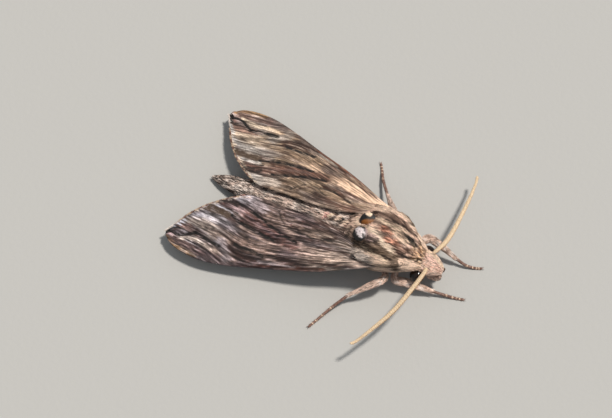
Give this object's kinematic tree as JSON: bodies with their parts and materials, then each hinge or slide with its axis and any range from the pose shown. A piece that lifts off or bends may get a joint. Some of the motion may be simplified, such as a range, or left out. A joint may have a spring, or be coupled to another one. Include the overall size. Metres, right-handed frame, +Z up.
{
  "type": "hawk moth",
  "caption": "Life-size still model of a resting hawk moth, wings swept back over its abdomen, feelers out to the sides, standing on its feet and belly.",
  "frame": {"origin": "middle of the bounding box's footprint, on the floor the feet stand on", "axes": "+Z up; -Y is the way the head faces; +X is the moth's left"},
  "size_m": [0.045, 0.0608, 0.0122],
  "materials": {
    "fur": "dense short fur-like scales, pale tan with dark olive and reddish brown",
    "abdomen": "grey-brown scales, banded at the sides",
    "forewing": "matt wing scales, grey-brown with darker streaks and pale patches",
    "hindwing": "matt wing scales, grey with dark bands",
    "eye": "smooth dark brown",
    "antenna": "cream scales above, fine ribs below",
    "horn": "satin red-brown horn with thin scales",
    "tuft": "black scales with a pearly patch and an orange-brown foot"
  },
  "bodies": {
    "root": {"head": "fur", "collar": "fur", "thorax": "fur", "tegula_left": "fur", "tegula_right": "fur", "tuft_left": "tuft", "tuft_right": "tuft", "abdomen_front": "abdomen", "abdomen_middle": "abdomen", "abdomen_rear": "abdomen", "abdomen_tip": "abdomen", "forewing_left": "forewing", "forewing_right": "forewing", "hindwing_left": "hindwing", "hindwing_right": "hindwing", "eye_left": "eye", "eye_right": "eye", "palp_left": "fur", "palp_right": "fur", "tongue": "horn", "antenna_left": "antenna", "antenna_right": "antenna", "leg_fore_left": "fur", "leg_fore_right": "fur", "leg_middle_left": "fur", "leg_middle_right": "fur", "leg_hind_left": "fur", "leg_hind_right": "fur", "foot_fore_left": "horn", "foot_fore_right": "horn", "foot_middle_left": "horn", "foot_middle_right": "horn", "foot_hind_left": "horn", "foot_hind_right": "horn"}
  },
  "joints": []
}
